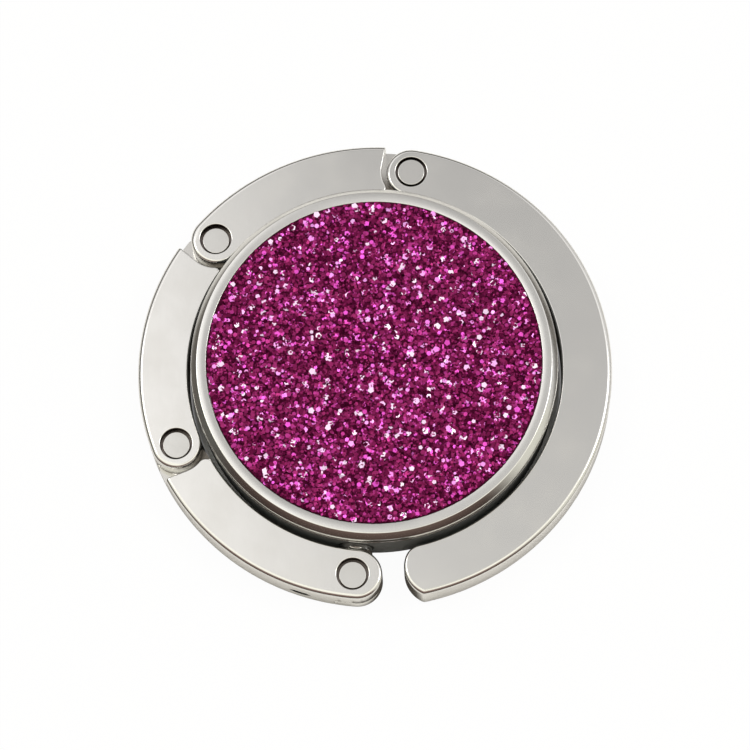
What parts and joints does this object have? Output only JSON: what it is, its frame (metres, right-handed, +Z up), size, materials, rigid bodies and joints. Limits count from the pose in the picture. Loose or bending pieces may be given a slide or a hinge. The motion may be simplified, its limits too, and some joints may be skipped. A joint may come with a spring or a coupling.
{
  "type": "purse hook",
  "caption": "Round table pad with a glitter insert, inside a flat ring of hinged links that swivels down and unfolds into a hook for a bag.",
  "frame": {"origin": "on the table, under the centre of the round pad", "axes": "+Z up out of the glitter face, -Y from the pad's centre to the first hinge pin, +X to the hook arm's side"},
  "size_m": [0.045, 0.045, 0.0063],
  "materials": {
    "nickel_plate": "bright nickel plating, lightly polished",
    "bright_steel": "plain turned steel",
    "cast_zinc": "bare die-cast zinc",
    "dark_rubber": "matt dark grey rubber",
    "magnet_plate": "nickel-plated magnet",
    "white_adhesive": "double-sided adhesive foam",
    "grey_plastic": "plain backing board",
    "magenta_glitter": "coarse metallic magenta glitter"
  },
  "bodies": {
    "pad": {"rubber_boot": "dark_rubber", "base_core": "cast_zinc", "bezel_tray": "nickel_plate", "tray_screw_1": "bright_steel", "tray_screw_2": "bright_steel", "tray_screw_3": "bright_steel", "closure_magnet": "magnet_plate", "insert_adhesive": "white_adhesive", "insert_plate": "grey_plastic", "glitter_sheet": "magenta_glitter"},
    "neck": {"swivel_neck": "nickel_plate", "swivel_washer": "bright_steel", "swivel_clip": "bright_steel", "hinge_pin_1": "nickel_plate"},
    "first_link": {"link_a": "nickel_plate", "hinge_pin_2": "nickel_plate"},
    "second_link": {"link_b": "nickel_plate", "hinge_pin_3": "nickel_plate"},
    "third_link": {"link_c": "nickel_plate", "hinge_pin_4": "nickel_plate"},
    "hook": {"hook_arm": "nickel_plate", "tip_keeper": "bright_steel"}
  },
  "joints": [
    {"name": "neck_swivel", "type": "hinge", "parent": "pad", "child": "neck", "pos_m": [0, -0.0172, 0.0022], "axis": [0, -1, 0], "range_deg": [-90, 90]},
    {"name": "link_a_pivot", "type": "hinge", "parent": "neck", "child": "first_link", "pos_m": [0, -0.02013, 0.00185], "axis": [0, 0, 1], "range_deg": [0, 45]},
    {"name": "link_b_pivot", "type": "hinge", "parent": "first_link", "child": "second_link", "pos_m": [-0.0179, -0.0092, 0.00185], "axis": [0, 0, 1], "range_deg": [0, 45]},
    {"name": "link_c_pivot", "type": "hinge", "parent": "second_link", "child": "third_link", "pos_m": [-0.01655, 0.01146, 0.00185], "axis": [0, 0, 1], "range_deg": [0, 45]},
    {"name": "hook_pivot", "type": "hinge", "parent": "third_link", "child": "hook", "pos_m": [0.00147, 0.02007, 0.00185], "axis": [0, 0, 1], "range_deg": [0, 45]}
  ],
  "couplings": [
    {"joint": "link_a_pivot", "follows": "hook_pivot", "ratio": 0.3},
    {"joint": "link_b_pivot", "follows": "hook_pivot", "ratio": 0.15},
    {"joint": "link_c_pivot", "follows": "hook_pivot", "ratio": 0.3}
  ]
}
